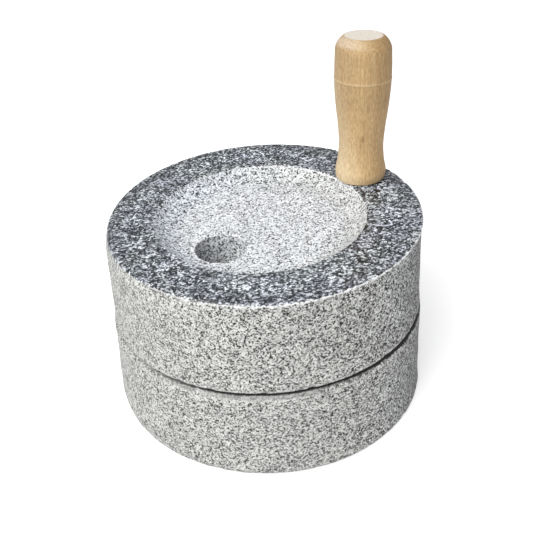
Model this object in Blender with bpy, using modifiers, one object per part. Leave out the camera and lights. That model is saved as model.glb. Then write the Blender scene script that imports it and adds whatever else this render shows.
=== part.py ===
"""Hand quern: a granite runner stone that turns on a granite bed stone, with a turned wooden handle.

The frame's origin is the centre of the bed stone's underside, on the pivot's axis.  +Z runs up the
axis and +X points from the axis to the foot of the handle.  Lengths are in metres.
"""
import math

import bmesh
import bpy

# Bed stone, the fixed lower one
BED_HEIGHT = 0.0640
BED_TOP_RADIUS = 0.1024
BED_FOOT_RADIUS = 0.1033
BED_SHOULDER = (0.0050, 0.0032)     # width and height of the worn upper edge
BED_FOOT_ROUND = 0.0050

# Runner stone, the upper one that turns
GRINDING_GAP = 0.0005               # between the two grinding faces
TOP_HEIGHT = 0.1280                 # of the runner's polished top above the ground
RUNNER_RADIUS = 0.1002
RUNNER_FOOT_RADIUS = 0.1013
RUNNER_RIM_CHAMFER = 0.0009
RUNNER_FOOT_ROUND = 0.0019
RUNNER_OFFSET = (0.0007, 0.0003)       # the outside was cut slightly off the pivot's axis

# Hopper, the shallow dish in the runner's top
DISH_CENTRE = (-0.0006, 0.0004)
DISH_RADIUS = 0.0678
DISH_FLOOR_RADIUS = 0.0540
DISH_DEPTH = 0.0090
DISH_BLEND_STEPS = 6

# Feed eye, the hole that the grain falls through
EYE_DISTANCE = 0.0354
EYE_ANGLE = math.radians(189.4)     # from the handle, seen from above, anticlockwise
EYE_RADIUS = 0.0160
EYE_EASE = 0.0010                   # eased upper edge of the eye

# Furrows dressed into both grinding faces
HARP_COUNT = 8
FURROW_WIDTH = 0.0030
FURROW_DEPTH = 0.0015
FURROW_END = 0.0920                 # distance from the axis where every furrow stops
FURROW_LINES = ((0.010, 0.024), (0.026, 0.042))     # sideways offset and inner end of each

# Pivot pin, fixed in the bed stone and loose in the runner
PIN_RADIUS = 0.0060
PIN_SUNK = 0.0300
PIN_RISE = 0.0220
PIN_CHAMFER = 0.0010
SEAT_GAP = 0.0003                   # around a piece that is set fast in another
RUNNING_GAP = 0.0008                # around the pin where the runner turns on it
PIN_HEADROOM = 0.0015

# Handle
HANDLE_REACH = 0.0808               # from the pivot's axis to the middle of the foot
HANDLE_LEAN_OUT = math.radians(3.44)
HANDLE_LEAN_SIDE = math.radians(2.53)
HANDLE_HEIGHT = 0.0949
HANDLE_SECTIONS = (                 # height above the stone, radius
    (-0.0040, 0.0157),
    (0.0000, 0.0163),
    (0.0050, 0.0169),
    (0.0127, 0.0155),
    (0.0236, 0.0147),
    (0.0363, 0.0156),
    (0.0500, 0.0173),
    (0.0635, 0.0183),
    (0.0762, 0.0183),
    (0.0868, 0.0180),
)
HANDLE_END_RADIUS = 0.0122          # of the flat end above the rounded shoulder
HANDLE_STEPS_PER_SECTION = 2
TENON_RADIUS = 0.0080
TENON_LENGTH = 0.0300

# Facets
STONE_STEPS = 96
EYE_STEPS = 48
HANDLE_STEPS = 40
PIN_STEPS = 32
CORNER_STEPS = 4
MERGE_DISTANCE = 0.00001
SHARP_ANGLE = math.radians(35)
CUT_MARGIN = 0.0050                 # how far a cutter stands past the face it cuts

RUNNER_BASE = BED_HEIGHT + GRINDING_GAP
DISH_FLOOR = TOP_HEIGHT - DISH_DEPTH


def clear_scene():
    for thing in list(bpy.data.objects):
        bpy.data.objects.remove(thing, do_unlink=True)


def new_collection(name):
    collection = bpy.data.collections.new(name)
    bpy.context.scene.collection.children.link(collection)
    return collection


def new_material(name, colour, roughness, metallic=0.0):
    material = bpy.data.materials.new(name)
    material.use_nodes = True
    shader = material.node_tree.nodes["Principled BSDF"]
    shader.inputs["Base Color"].default_value = (*colour, 1.0)
    shader.inputs["Roughness"].default_value = roughness
    shader.inputs["Metallic"].default_value = metallic
    material.diffuse_color = (*colour, 1.0)
    return material


def corner(centre, radii, start, end, steps=CORNER_STEPS):
    """Points of an elliptical arc about centre, from start to end degrees, as (radius, height)."""
    points = []
    for i in range(steps + 1):
        angle = math.radians(start + (end - start) * i / steps)
        points.append((centre[0] + radii[0] * math.cos(angle), centre[1] + radii[1] * math.sin(angle)))
    return points


def turned(name, profile, steps, collection):
    """A body turned about its own Z axis from a profile of (radius, height), given top to bottom."""
    mesh = bpy.data.meshes.new(name)
    points = [(radius, 0.0, height) for radius, height in profile]
    mesh.from_pydata(points, [(i, i + 1) for i in range(len(points) - 1)], [])
    body = bpy.data.objects.new(name, mesh)
    collection.objects.link(body)
    screw = body.modifiers.new("Turn", "SCREW")
    screw.steps = steps
    screw.render_steps = steps
    screw.use_merge_vertices = True
    screw.merge_threshold = MERGE_DISTANCE
    return body


def as_cutter(body):
    body.hide_render = True
    body.display_type = "WIRE"
    return body


def cylinder_cutter(name, radius, low, high, steps, collection):
    profile = [(0.0, high), (radius, high), (radius, low), (0.0, low)]
    return as_cutter(turned(name, profile, steps, collection))


def combine(body, other, operation):
    boolean = body.modifiers.new(other.name, "BOOLEAN")
    boolean.operation = operation
    boolean.solver = "EXACT"
    boolean.object = other


def finish_piece(body, material, parent=None):
    """Freezes the modifiers of a piece, so that its edges can be marked sharp, and dresses it."""
    bpy.context.view_layer.update()
    shaped = body.evaluated_get(bpy.context.evaluated_depsgraph_get())
    mesh = bpy.data.meshes.new_from_object(shaped)
    body.modifiers.clear()
    body.data = mesh
    mesh.name = body.name
    mesh.materials.clear()
    mesh.materials.append(material)
    mesh.shade_smooth()
    mesh.set_sharp_from_angle(angle=SHARP_ANGLE)
    if parent:
        body.parent = parent


def furrow_cutter(name, face_height, collection):
    """Straight furrows in equal harps: in each harp they run parallel, set off to one side."""
    mesh = bpy.data.meshes.new(name)
    shape = bmesh.new()
    for harp in range(HARP_COUNT):
        turn = math.tau * harp / HARP_COUNT
        for offset, inner in FURROW_LINES:
            outer = math.sqrt(FURROW_END ** 2 - offset ** 2)
            made = bmesh.ops.create_cube(shape, size=1.0)["verts"]
            for vert in made:
                along = (inner + outer) / 2 + vert.co.x * (outer - inner)
                across = offset + vert.co.y * FURROW_WIDTH
                vert.co.x = along * math.cos(turn) - across * math.sin(turn)
                vert.co.y = along * math.sin(turn) + across * math.cos(turn)
                vert.co.z = face_height + vert.co.z * 2 * FURROW_DEPTH
    shape.to_mesh(mesh)
    shape.free()
    body = bpy.data.objects.new(name, mesh)
    collection.objects.link(body)
    return as_cutter(body)


def bed_stone(parts, cutters, granite):
    """The lower stone, with a blind hole for the pin and furrows in its upper face."""
    width, height = BED_SHOULDER
    hole_radius = PIN_RADIUS + SEAT_GAP
    hole_floor = BED_HEIGHT - PIN_SUNK - SEAT_GAP
    profile = [(0.0, hole_floor), (hole_radius, hole_floor), (hole_radius, BED_HEIGHT)]
    profile += corner((BED_TOP_RADIUS - width, BED_HEIGHT - height), BED_SHOULDER, 90, 0)
    foot_centre = (BED_FOOT_RADIUS - BED_FOOT_ROUND, BED_FOOT_ROUND)
    profile += corner(foot_centre, (BED_FOOT_ROUND, BED_FOOT_ROUND), 0, -90)
    profile.append((0.0, 0.0))
    stone = turned("lower_stone", profile, STONE_STEPS, parts)
    combine(stone, furrow_cutter("bed_furrows", BED_HEIGHT, cutters), "DIFFERENCE")
    finish_piece(stone, granite)


def dish_cutter(cutters):
    """The hopper's hollow: a sloping wall that rounds into an almost flat floor."""
    slope = (DISH_RADIUS - DISH_FLOOR_RADIUS) / DISH_DEPTH
    profile = [(0.0, TOP_HEIGHT + CUT_MARGIN), (DISH_RADIUS + CUT_MARGIN * slope, TOP_HEIGHT + CUT_MARGIN)]
    for i in range(DISH_BLEND_STEPS + 1):
        t = i / DISH_BLEND_STEPS
        radius = DISH_RADIUS + (DISH_FLOOR_RADIUS - DISH_RADIUS) * t
        profile.append((radius, TOP_HEIGHT - DISH_DEPTH * math.sin(t * math.pi / 2)))
    profile.append((0.0, DISH_FLOOR))
    cutter = as_cutter(turned("hopper_hollow", profile, STONE_STEPS, cutters))
    cutter.location = (*DISH_CENTRE, 0.0)
    return cutter


def eye_cutter(cutters):
    """The round feed hole, eased where it opens in the hopper's floor."""
    profile = [
        (0.0, DISH_FLOOR + CUT_MARGIN),
        (EYE_RADIUS + EYE_EASE + CUT_MARGIN, DISH_FLOOR + CUT_MARGIN),
        (EYE_RADIUS, DISH_FLOOR - EYE_EASE),
        (EYE_RADIUS, RUNNER_BASE - CUT_MARGIN),
        (0.0, RUNNER_BASE - CUT_MARGIN),
    ]
    cutter = as_cutter(turned("feed_eye_hole", profile, EYE_STEPS, cutters))
    cutter.location = (EYE_DISTANCE * math.cos(EYE_ANGLE), EYE_DISTANCE * math.sin(EYE_ANGLE), 0.0)
    return cutter


def set_on_runner(body):
    """Stands a body of the handle where the handle grows out of the runner, with the handle's lean."""
    body.location = (HANDLE_REACH, 0.0, TOP_HEIGHT)
    body.rotation_euler = (-HANDLE_LEAN_SIDE, HANDLE_LEAN_OUT, 0.0)
    return body


def runner_stone(parts, cutters, granite, axle):
    """The upper stone, with its hopper, feed eye, handle socket and pivot socket."""
    top_edge = RUNNER_RADIUS - RUNNER_RIM_CHAMFER
    foot_centre = (RUNNER_FOOT_RADIUS - RUNNER_FOOT_ROUND, RUNNER_BASE + RUNNER_FOOT_ROUND)
    profile = [
        (0.0, TOP_HEIGHT),
        (top_edge, TOP_HEIGHT),
        (RUNNER_RADIUS, TOP_HEIGHT - RUNNER_RIM_CHAMFER),
    ]
    profile += corner(foot_centre, (RUNNER_FOOT_ROUND, RUNNER_FOOT_ROUND), 0, -90, 3)
    profile.append((0.0, RUNNER_BASE))
    stone = turned("upper_stone", profile, STONE_STEPS, parts)
    stone.location = (*RUNNER_OFFSET, 0.0)
    combine(stone, dish_cutter(cutters), "DIFFERENCE")
    combine(stone, eye_cutter(cutters), "DIFFERENCE")
    pin_socket = cylinder_cutter(
        "pin_socket",
        PIN_RADIUS + RUNNING_GAP,
        RUNNER_BASE - CUT_MARGIN,
        BED_HEIGHT + PIN_RISE + PIN_HEADROOM,
        PIN_STEPS,
        cutters,
    )
    combine(stone, pin_socket, "DIFFERENCE")
    handle_socket = cylinder_cutter(
        "handle_socket", TENON_RADIUS + SEAT_GAP, -TENON_LENGTH - SEAT_GAP, CUT_MARGIN, PIN_STEPS, cutters
    )
    combine(stone, set_on_runner(handle_socket), "DIFFERENCE")
    combine(stone, furrow_cutter("runner_furrows", RUNNER_BASE, cutters), "DIFFERENCE")
    finish_piece(stone, granite, axle)


def smooth_sections(sections, steps):
    """A Catmull-Rom curve through the sections, with steps points between each two."""
    points = []
    for i in range(len(sections) - 1):
        before = sections[max(i - 1, 0)]
        start = sections[i]
        end = sections[i + 1]
        after = sections[min(i + 2, len(sections) - 1)]
        for j in range(steps):
            t = j / steps
            radius = 0.5 * (
                2 * start[1]
                + (end[1] - before[1]) * t
                + (2 * before[1] - 5 * start[1] + 4 * end[1] - after[1]) * t ** 2
                + (3 * start[1] - before[1] - 3 * end[1] + after[1]) * t ** 3
            )
            points.append((radius, start[0] + (end[0] - start[0]) * t))
    return points


def turned_handle(parts, cutters, wood, axle):
    """The wooden grip, cut flat to stand on the stone, in one piece with the tenon below it."""
    shoulder_height, shoulder_radius = HANDLE_SECTIONS[-1]
    radii = (shoulder_radius - HANDLE_END_RADIUS, HANDLE_HEIGHT - shoulder_height)
    profile = [(0.0, HANDLE_HEIGHT)]
    profile += corner((HANDLE_END_RADIUS, shoulder_height), radii, 90, 0)
    profile += reversed(smooth_sections(HANDLE_SECTIONS, HANDLE_STEPS_PER_SECTION))
    profile.append((0.0, HANDLE_SECTIONS[0][0]))
    grip = set_on_runner(turned("handle", profile, HANDLE_STEPS, parts))
    tenon = cylinder_cutter("tenon", TENON_RADIUS, -TENON_LENGTH, CUT_MARGIN, PIN_STEPS, cutters)
    below = 4 * CUT_MARGIN
    foot = cylinder_cutter("foot_trim", 2 * TENON_LENGTH, -below, SEAT_GAP, EYE_STEPS, cutters)
    foot.location = (HANDLE_REACH, 0.0, TOP_HEIGHT)
    combine(grip, foot, "DIFFERENCE")
    combine(grip, set_on_runner(tenon), "UNION")
    finish_piece(grip, wood, axle)


def pivot_pin(parts, steel):
    """The steel pin that the runner turns on."""
    low = BED_HEIGHT - PIN_SUNK
    high = BED_HEIGHT + PIN_RISE
    end_radius = PIN_RADIUS - PIN_CHAMFER
    profile = [
        (0.0, high),
        (end_radius, high),
        (PIN_RADIUS, high - PIN_CHAMFER),
        (PIN_RADIUS, low + PIN_CHAMFER),
        (end_radius, low),
        (0.0, low),
    ]
    finish_piece(turned("pivot_pin", profile, PIN_STEPS, parts), steel)


def build():
    clear_scene()
    parts = new_collection("rotary_quern")
    cutters = new_collection("cutters")
    granite = new_material("granite", (0.42, 0.43, 0.42), 0.85)
    dark_granite = new_material("polished_granite", (0.24, 0.25, 0.28), 0.5)
    wood = new_material("turned_wood", (0.55, 0.38, 0.20), 0.55)
    steel = new_material("steel", (0.50, 0.50, 0.52), 0.35, 1.0)
    axle = bpy.data.objects.new("runner_axis", None)
    parts.objects.link(axle)
    bed_stone(parts, cutters, granite)
    pivot_pin(parts, steel)
    runner_stone(parts, cutters, dark_granite, axle)
    turned_handle(parts, cutters, wood, axle)


build()
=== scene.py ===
"""Looks of the hand quern: two granite stones, the upper one turning, and a turned wooden handle.

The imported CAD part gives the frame.  Lengths are in metres, the origin is the centre of the bed
stone's underside, +Z runs up the pivot's axis and +X points from the axis to the handle's foot.
"""

import math
import random

import bpy
import bmesh
import numpy as np
from mathutils import Matrix, Vector, noise


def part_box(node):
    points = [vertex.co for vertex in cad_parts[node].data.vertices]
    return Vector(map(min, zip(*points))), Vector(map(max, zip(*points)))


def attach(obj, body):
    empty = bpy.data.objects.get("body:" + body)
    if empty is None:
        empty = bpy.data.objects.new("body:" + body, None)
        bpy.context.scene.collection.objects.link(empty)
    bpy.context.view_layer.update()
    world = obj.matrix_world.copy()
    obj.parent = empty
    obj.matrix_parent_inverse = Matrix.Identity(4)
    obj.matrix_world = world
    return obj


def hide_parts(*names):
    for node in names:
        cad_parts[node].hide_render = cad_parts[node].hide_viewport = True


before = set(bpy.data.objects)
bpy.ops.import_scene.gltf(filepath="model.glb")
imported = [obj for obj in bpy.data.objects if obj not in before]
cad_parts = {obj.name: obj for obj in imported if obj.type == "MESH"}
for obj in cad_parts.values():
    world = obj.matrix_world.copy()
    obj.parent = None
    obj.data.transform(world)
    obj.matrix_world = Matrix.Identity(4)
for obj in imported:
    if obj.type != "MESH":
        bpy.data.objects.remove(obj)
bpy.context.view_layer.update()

MM = 0.001

# Camera, at the photograph's viewing angle
CAMERA_TARGET = Vector((5.374, -3.503, 80.469)) * MM
CAMERA_DISTANCE = 604.6 * MM
CAMERA_AZIMUTH = math.radians(-33.1)
CAMERA_ELEVATION = math.radians(33.95)
CAMERA_ROLL = math.radians(-3.23)
CAMERA_LENS = 59.57                 # in mm
CAMERA_SENSOR = 36.0                # in mm

# Directions on the ground as the camera sees them
TO_LEFT = Vector((-math.cos(CAMERA_AZIMUTH), -math.sin(CAMERA_AZIMUTH), 0.0))
TO_CAMERA = Vector((math.sin(CAMERA_AZIMUTH), -math.cos(CAMERA_AZIMUTH), 0.0))
UP = Vector((0.0, 0.0, 1.0))
AXIS = (0.0, 0.0)

# The main light, in degrees to the left of the camera and above the ground
KEY_TO_LEFT = 40.0
KEY_ELEVATION = 50.0
KEY_DISTANCE = 2.0
KEY_SIZE = 1.7
KEY_POWER = 60.0
KEY_COLOUR = (1.0, 0.995, 0.97)

# The floor and the room, which is a little darker on the right
FLOOR_REACH = 6.0
FLOOR_DROP = 0.05 * MM
FLOOR_COLOUR = (0.62, 0.62, 0.62, 1.0)
FLOOR_GLOW = 0.5
ROOM_COLOUR = (0.975, 0.985, 1.0, 1.0)
ROOM_ON_RIGHT = 0.56
ROOM_ON_LEFT = 0.74

# Stones, with the same sizes as the CAD solids
BED_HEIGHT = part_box("lower_stone")[1].z
BED_TOP_RADIUS = 102.4 * MM
BED_FOOT_RADIUS = 103.3 * MM
BED_SHOULDER_WIDTH = 5.0 * MM
BED_SHOULDER_HEIGHT = 3.2 * MM
BED_FOOT_ROUND = 5.0 * MM
RUNNER_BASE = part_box("upper_stone")[0].z
TOP_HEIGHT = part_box("upper_stone")[1].z
RUNNER_RADIUS = 100.2 * MM
RUNNER_FOOT_RADIUS = 101.3 * MM
RUNNER_RIM_CHAMFER = 0.9 * MM
RUNNER_FOOT_ROUND = 1.9 * MM
RUNNER_CENTRE = Vector((0.7, 0.3)) * MM
DISH_CENTRE = Vector((-0.6, 0.4)) * MM
DISH_RADIUS = 67.8 * MM
# The middle of the pecked finish, which is a little off the hopper's
PECKED_CENTRE = DISH_CENTRE + TO_CAMERA.xy * 0.8 * MM + TO_LEFT.xy * 0.3 * MM
PECKED_RADIUS = 67.5 * MM
DISH_FLOOR_RADIUS = 54.0 * MM
DISH_DEPTH = 9.0 * MM
DISH_FLOOR = TOP_HEIGHT - DISH_DEPTH
EYE_CENTRE = Vector((-34.92, -5.78)) * MM
EYE_RADIUS = 16.0 * MM
EYE_EASE = 1.0 * MM
PIN_HOLE_RADIUS = 6.3 * MM
PIN_HOLE_FLOOR = 33.7 * MM
PIN_SOCKET_RADIUS = 6.8 * MM
PIN_SOCKET_TOP = 87.5 * MM
HARP_COUNT = 8
FURROW_WIDTH = 3.0 * MM
FURROW_DEPTH = 1.5 * MM
FURROW_END = 92.0 * MM
FURROW_LINES = ((10.0 * MM, 24.0 * MM), (26.0 * MM, 42.0 * MM))

# How the sides of the hand-cut stones stray from true: height, shift to the camera's left, shift
# towards the camera, and change of radius, in mm
BED_STRAY = (
    (0.0, -1.9, 0.6, 0.1), (4.0, 0.2, 0.1, -0.3), (10.0, 0.8, 0.0, 0.0),
    (28.0, 0.5, 0.0, -0.1), (42.0, 0.2, 0.0, -0.4), (54.0, -0.3, 0.0, -0.2),
    (64.0, -0.35, 0.0, -0.15),
)
RUNNER_STRAY = (
    (64.5, -0.1, 0.0, 0.05), (68.0, 0.05, 0.0, 0.2), (75.0, 0.2, 0.0, -0.05),
    (100.0, 0.0, 0.0, -0.1), (118.0, -0.2, 0.1, -0.05), (124.0, -0.8, 0.3, -0.4),
    (128.0, -1.85, 0.3, -0.5),
)

# Handle, in its own frame: z runs up its axis from the stone's top
HANDLE_REACH = 80.8 * MM
HANDLE_LEAN_OUT = math.radians(3.44)
HANDLE_LEAN_SIDE = math.radians(2.53)
HANDLE_HEIGHT = 94.9 * MM
HANDLE_SECTIONS = (                 # height, radius, in mm
    (-4.0, 15.7), (0.0, 16.3), (5.0, 16.9), (12.7, 15.5), (23.6, 14.7),
    (36.3, 15.6), (50.0, 17.3), (63.5, 18.3), (76.2, 18.3), (86.8, 18.0),
)
HANDLE_END_RADIUS = 12.2 * MM
HANDLE_SHOULDER_POWER = 1.5         # 2 is a true ellipse, less is flatter
HANDLE_FOOT_ROUND = 1.3 * MM
HANDLE_FOOT_GAP = 0.3 * MM
LATHE_RING_HEIGHT = 68.2 * MM
LATHE_RING_RISE = 0.28 * MM
LATHE_RING_WIDTH = 0.75 * MM
KNOT_RADIUS = 15.2 * MM
KNOT_TURN = -126.0                  # degrees about the handle's axis
KNOT_HEIGHT = 31.3 * MM
TENON_RADIUS = 8.0 * MM
TENON_LENGTH = 30.0 * MM
SOCKET_GAP = 0.3 * MM

# Mesh density
STONE_STEPS = 480
EYE_STEPS = 160
SOCKET_STEPS = 64
HANDLE_STEPS = 128
GRIP_RINGS = 110
WALL_RINGS = 14
FINE = 1.3 * MM
COARSE = 6.0 * MM
DISH_SPACING = 1.6 * MM
TOP_SPACING = 2.0 * MM
RIM_SPACING = 0.5 * MM
END_SPACING = 1.2 * MM
SHARP_ANGLE = math.radians(35)
EDGE_MARGIN = 0.1 * MM

# Relief of a cut stone face: size of its lumps, and how far they stand out, in mm
STONE_RELIEF = ((38.0, 0.25), (9.0, 0.16), (2.6, 0.16))
SEED_STEPS = (13.7, 5.1, 9.3)       # moves the noise to another place for each seed
BED_SEED = 3
RUNNER_SEED = 7
EYE_SEED = 31

HANDLE_SEED = 41
GRAIN_DRAW = (1, 1, 0.25)           # draws the handle's fine lumps out along the grain
HANDLE_SLOPE_HEIGHT = 14 * MM       # the slope of the handle's foot fades out over this height


# ---------------- mesh tools


def arc(centre, radii, start, end, steps):
    """Points of an elliptical arc about centre, from start to end degrees, as (radius, height)."""
    points = []
    for i in range(steps + 1):
        angle = math.radians(start + (end - start) * i / steps)
        out = radii[0] * math.cos(angle)
        up = radii[1] * math.sin(angle)
        points.append((centre[0] + out, centre[1] + up))
    return points


def rounded_foot(radius, height, rounding, steps):
    """The quarter turn from an upright side into the underside at a height."""
    return arc((radius - rounding, height + rounding), (rounding, rounding), 0, -90, steps)


def flat_arc(centre, radii, power, steps):
    """A quarter turn from straight above centre to straight out, flatter than an ellipse."""
    points = []
    for i in range(steps + 1):
        angle = math.radians(90 - 90 * i / steps)
        out = max(math.cos(angle), 0.0) ** (2 / power)
        up = math.sin(angle) ** (2 / power)
        points.append((centre[0] + radii[0] * out, centre[1] + radii[1] * up))
    return points


def divided(profile, spacing):
    """The profile with points added, so that no two neighbours are further apart than spacing."""
    points = [profile[0]]
    for start, end in zip(profile, profile[1:]):
        length = math.hypot(end[0] - start[0], end[1] - start[1])
        count = max(1, math.ceil(length / spacing))
        for i in range(1, count + 1):
            t = i / count
            points.append((start[0] + (end[0] - start[0]) * t, start[1] + (end[1] - start[1]) * t))
    return points


def lofted_mesh(name, rings, steps):
    """A closed mesh through level rings of (radius, height, centre x, centre y).

    The first and the last have radius 0, and each is one vertex.
    """
    angles = np.arange(steps) * (2 * math.pi / steps)
    circle = np.stack([np.cos(angles), np.sin(angles)], axis=1)
    points = []
    for i, (radius, height, x, y) in enumerate(rings):
        around = circle if 0 < i < len(rings) - 1 else circle[:1]
        points.append(np.hstack([around * radius + (x, y), np.full((len(around), 1), height)]))
    points = np.vstack(points)
    last = len(points) - 1
    sides = [(i, (i + 1) % steps) for i in range(steps)]
    faces = [(0, 1 + i, 1 + j) for i, j in sides]
    for row in range(len(rings) - 3):
        upper = 1 + row * steps
        lower = upper + steps
        faces += [(upper + i, lower + i, lower + j, upper + j) for i, j in sides]
    bottom = last - steps
    faces += [(bottom + i, last, bottom + j) for i, j in sides]
    mesh = bpy.data.meshes.new(name)
    mesh.from_pydata(points.tolist(), [], faces)
    mesh.update()
    return mesh


def new_object(name, mesh):
    thing = bpy.data.objects.new(name, mesh)
    bpy.context.scene.collection.objects.link(thing)
    return thing


def read_surface(mesh):
    """The mesh's points and their normals, one in each row."""
    tables = []
    for what in ("co", "normal"):
        values = np.empty(len(mesh.vertices) * 3)
        mesh.vertices.foreach_get(what, values)
        tables.append(values.reshape(-1, 3))
    return tables


def write_points(mesh, points):
    mesh.vertices.foreach_set("co", points.ravel())
    mesh.update()


def lumps(points, size, seed):
    """Smooth noise from about -1 to 1 at each point, with features of the given size."""
    offset = Vector([seed * step for step in SEED_STEPS])
    scale = 1.0 / size
    return np.array([noise.noise(Vector(point) * scale + offset) for point in points])


def ramp_up(values, low, high):
    """0 below low, 1 above high, and smooth between."""
    t = np.clip((values - low) / (high - low), 0.0, 1.0)
    return t * t * (3 - 2 * t)


def flake_off(points, normals, chips):
    """Presses each chip, given as (centre, radius, depth), into the points round it."""
    for centre, radius, depth in chips:
        distance = np.linalg.norm(points - np.array(centre), axis=1)
        near = distance < radius
        share = 1.0 - (distance[near] / radius) ** 2
        points[near] -= normals[near] * (depth * np.sqrt(share))[:, None]


def sharpen(points, distance, radius, share):
    """Moves the points of a worn edge towards the radius, on the camera's left."""
    to_left = points[:, 0] * TO_LEFT.x + points[:, 1] * TO_LEFT.y
    share = share * ramp_up(to_left, 45 * MM, 95 * MM)
    scale = 1 + (radius - distance) / np.maximum(distance, 1 * MM) * share
    points[:, :2] *= scale[:, None]


def polar(radius, degrees, height):
    angle = math.radians(degrees)
    return (radius * math.cos(angle), radius * math.sin(angle), height)


def edge_chips(seed, count, radius, height, centre, sizes, depths):
    """Chips at random places along a round edge, each size and depth between two, in mm."""
    dice = random.Random(seed)
    chips = []
    for _ in range(count):
        angle = dice.uniform(0.0, math.tau)
        size = dice.uniform(sizes[0] * MM, sizes[1] * MM)
        depth = dice.uniform(depths[0] * MM, depths[1] * MM)
        place = (centre[0] + radius * math.cos(angle), centre[1] + radius * math.sin(angle), height)
        chips.append((place, size, depth))
    return chips


def triangulate(mesh):
    shape = bmesh.new()
    shape.from_mesh(mesh)
    bmesh.ops.triangulate(shape, faces=shape.faces)
    shape.to_mesh(mesh)
    shape.free()


def cut(body, cutter):
    """Takes the cutter's volume out of the body, and removes the cutter."""
    triangulate(body.data)
    triangulate(cutter.data)
    boolean = body.modifiers.new(cutter.name, "BOOLEAN")
    boolean.operation = "DIFFERENCE"
    boolean.solver = "EXACT"
    boolean.object = cutter
    bpy.context.view_layer.update()
    shaped = body.evaluated_get(bpy.context.evaluated_depsgraph_get())
    mesh = bpy.data.meshes.new_from_object(shaped)
    mesh.name = body.data.name
    body.modifiers.clear()
    body.data = mesh
    bpy.data.objects.remove(cutter)


def finish_mesh(body, material):
    mesh = body.data
    mesh.materials.clear()
    mesh.materials.append(material)
    mesh.shade_smooth()
    mesh.set_sharp_from_angle(angle=SHARP_ANGLE)


# ---------------- stones


def furrow_cutter(face_height):
    """The furrows of both grinding faces: equal harps, in each of which they run parallel."""
    shape = bmesh.new()
    for harp in range(HARP_COUNT):
        turn = Matrix.Rotation(math.tau * harp / HARP_COUNT, 4, "Z")
        for offset, inner in FURROW_LINES:
            outer = math.sqrt(FURROW_END ** 2 - offset ** 2)
            place = Matrix.Translation(((inner + outer) / 2, offset, face_height))
            size = Matrix.Diagonal((outer - inner, FURROW_WIDTH, 2 * FURROW_DEPTH, 1.0))
            bmesh.ops.create_cube(shape, size=1.0, matrix=turn @ place @ size)
    mesh = bpy.data.meshes.new("furrows")
    shape.to_mesh(mesh)
    shape.free()
    return new_object("furrows", mesh)


def stone_relief(points, side_share, seed):
    """How far a cut face of the stone stands out at each point."""
    layers = enumerate(STONE_RELIEF)
    relief = sum(lumps(points, size * MM, seed + i) * height * MM for i, (size, height) in layers)
    return relief * side_share


def stray(table, height):
    """The shift on the ground and the change of radius at a height."""
    heights, *columns = zip(*table)
    to_left, to_front, swell = (
        float(np.interp(height / MM, heights, column)) * MM for column in columns
    )
    return TO_LEFT.xy * to_left + TO_CAMERA.xy * to_front, swell


def outer_share(radius, full_radius):
    """How much a ring takes part in the straying of the stone's side: none near the middle."""
    return min(radius / full_radius, 1.0) ** 6


def bed_profile():
    """The bed's section, from the pin's hole over the top and down the side to the underside."""
    hole = [(0.0, PIN_HOLE_FLOOR), (PIN_HOLE_RADIUS, PIN_HOLE_FLOOR), (PIN_HOLE_RADIUS, BED_HEIGHT)]
    shoulder_centre = (BED_TOP_RADIUS - BED_SHOULDER_WIDTH, BED_HEIGHT - BED_SHOULDER_HEIGHT)
    shoulder = arc(shoulder_centre, (BED_SHOULDER_WIDTH, BED_SHOULDER_HEIGHT), 90, 0, 7)
    foot = rounded_foot(BED_FOOT_RADIUS, 0.0, BED_FOOT_ROUND, 8)
    profile = divided(hole + [shoulder[0]], COARSE)
    profile += divided(shoulder + foot, FINE)[1:]
    profile += divided([foot[-1], (0.0, 0.0)], COARSE)[1:]
    return profile


def bed_rings():
    rings = []
    for radius, height in bed_profile():
        shift, swell = stray(BED_STRAY, height)
        outer = outer_share(radius, BED_TOP_RADIUS)
        centre = shift * outer
        rings.append((radius + swell * outer, height, centre.x, centre.y))
    return rings


def bed_chips():
    """Chips along the shoulder and the foot, and one large chip under the seam, front left."""
    edge = (BED_TOP_RADIUS, BED_HEIGHT - 2.6 * MM, AXIS)
    chips = edge_chips(11, 34, *edge, sizes=(1.2, 2.6), depths=(0.15, 0.5))
    edge = (BED_FOOT_RADIUS - 0.5 * MM, 2.0 * MM, AXIS)
    chips += edge_chips(12, 26, *edge, sizes=(1.5, 3.5), depths=(0.2, 0.7))
    large_place = polar(BED_TOP_RADIUS + 0.2 * MM, -148.8, BED_HEIGHT - 2.0 * MM)
    chips.append((large_place, 3.0 * MM, 1.5 * MM))
    return chips


def bed_stone():
    mesh = lofted_mesh("bed", bed_rings(), STONE_STEPS)
    points, normals = read_surface(mesh)
    from_axis = np.hypot(points[:, 0], points[:, 1])
    side = ramp_up(from_axis, 98.5 * MM, 101 * MM)
    is_shoulder = from_axis > BED_TOP_RADIUS - BED_SHOULDER_WIDTH - EDGE_MARGIN
    is_shoulder = is_shoulder * (points[:, 2] > BED_HEIGHT - BED_SHOULDER_HEIGHT)
    sharpen(points, from_axis, BED_TOP_RADIUS, is_shoulder * 0.6)
    points += normals * stone_relief(points, side, BED_SEED)[:, None]
    flake_off(points, normals, bed_chips())
    points[:, 2] = np.maximum(points[:, 2], 0.0)
    write_points(mesh, points)
    stone = new_object("bed", mesh)
    cut(stone, furrow_cutter(BED_HEIGHT))
    return stone


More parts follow.
